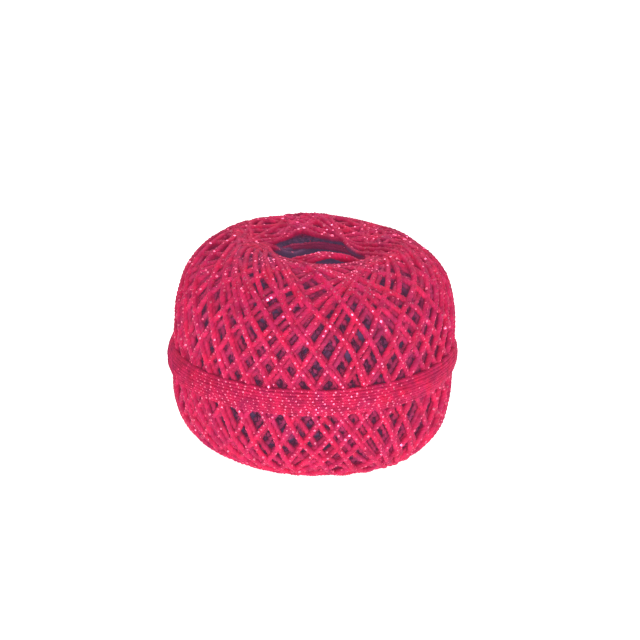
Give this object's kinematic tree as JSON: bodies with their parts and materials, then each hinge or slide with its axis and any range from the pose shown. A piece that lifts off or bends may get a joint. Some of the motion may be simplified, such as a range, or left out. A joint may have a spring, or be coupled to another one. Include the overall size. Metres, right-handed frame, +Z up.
{
  "type": "ball of twine",
  "caption": "Squat cross-wound ball of crimson metallic craft twine with a hole down its axis and a belt of level turns.",
  "frame": {"origin": "centre of the base, on the surface that the ball stands on", "axes": "+Z up the axis of the hole; -X is the side where the belt stands out a little more"},
  "size_m": [0.0798, 0.0798, 0.0591],
  "materials": {
    "metallic_twine": "crimson cotton-like plied twine with a fine glittering metallic filament"
  },
  "bodies": {
    "root": {"twine_ball": "metallic_twine"}
  },
  "joints": []
}
